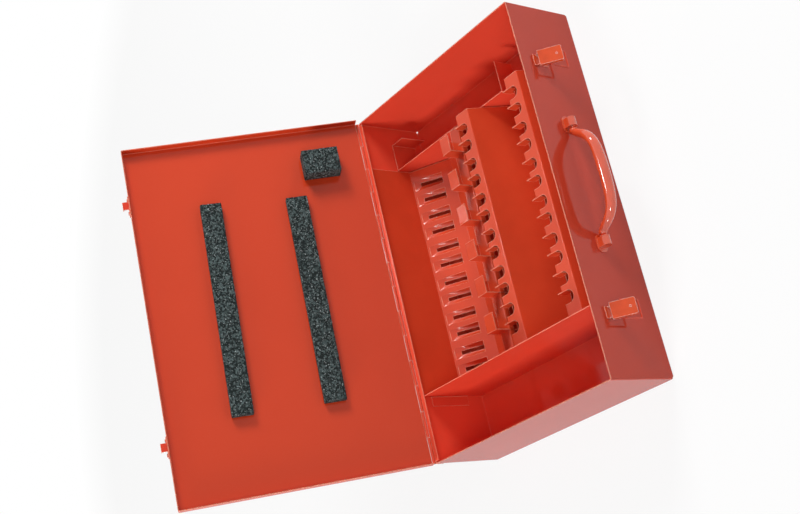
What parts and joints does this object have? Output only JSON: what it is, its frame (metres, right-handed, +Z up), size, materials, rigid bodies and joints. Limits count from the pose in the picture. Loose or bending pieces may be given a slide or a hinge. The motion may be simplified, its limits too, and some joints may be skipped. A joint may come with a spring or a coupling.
{
  "type": "tool case",
  "caption": "Folded sheet-steel tool case with a hinged lid, two draw latches, a bow handle, foam strips in the lid and a notched rack inside.",
  "frame": {"origin": "centre of the case underside, with the case lying on its back", "axes": "+X along the hinge, away from the bin end; +Y from the latch wall to the hinge wall; +Z up, out of the open case"},
  "size_m": [0.4228, 0.4452, 0.3502],
  "materials": {
    "red_paint": "smooth gloss paint",
    "foam": "open-cell foam"
  },
  "bodies": {
    "case": {"bin_partition": "red_paint", "case_tray": "red_paint", "handle_bracket_left": "red_paint", "handle_bracket_right": "red_paint", "hinge_case_leaf": "red_paint", "hinge_pin": "red_paint", "latch_base_left": "red_paint", "latch_base_right": "red_paint", "latch_pin_left": "red_paint", "latch_pin_right": "red_paint", "rack_front_rail": "red_paint", "rack_middle_rail": "red_paint", "rack_slot_plate": "red_paint", "side_pocket": "red_paint"},
    "lid": {"catch_rivet_left_1": "red_paint", "catch_rivet_left_2": "red_paint", "catch_rivet_right_1": "red_paint", "catch_rivet_right_2": "red_paint", "foam_block": "foam", "foam_strip_far": "foam", "foam_strip_near": "foam", "hinge_lid_leaf": "red_paint", "lid_catch_left": "red_paint", "lid_catch_right": "red_paint", "lid_tray": "red_paint"},
    "handle": {"handle_bow": "red_paint"},
    "lever_left": {"latch_lever_left": "red_paint"},
    "loop_left": {"latch_loop_left": "red_paint"},
    "lever_right": {"latch_lever_right": "red_paint"},
    "loop_right": {"latch_loop_right": "red_paint"}
  },
  "joints": [
    {"name": "lid_hinge", "type": "hinge", "parent": "case", "child": "lid", "pos_m": [0, 0.13985, 0.09195], "axis": [-1, 0, 0], "range_deg": [-118, 0]},
    {"name": "lever_left_hinge", "type": "hinge", "parent": "case", "child": "lever_left", "pos_m": [-0.1415, -0.1428, 0.0677], "axis": [-1, 0, 0], "range_deg": [-18, 55]},
    {"name": "loop_left_hinge", "type": "hinge", "parent": "lever_left", "child": "loop_left", "pos_m": [-0.1415, -0.1503, 0.06105], "axis": [1, 0, 0], "range_deg": [-204, 5]},
    {"name": "lever_right_hinge", "type": "hinge", "parent": "case", "child": "lever_right", "pos_m": [0.1415, -0.1428, 0.0677], "axis": [-1, 0, 0], "range_deg": [-18, 55]},
    {"name": "loop_right_hinge", "type": "hinge", "parent": "lever_right", "child": "loop_right", "pos_m": [0.1415, -0.1503, 0.06105], "axis": [1, 0, 0], "range_deg": [-204, 5]},
    {"name": "handle_hinge", "type": "hinge", "parent": "case", "child": "handle", "pos_m": [0, -0.1451, 0.0505], "axis": [-1, 0, 0], "range_deg": [-80, 80]}
  ]
}
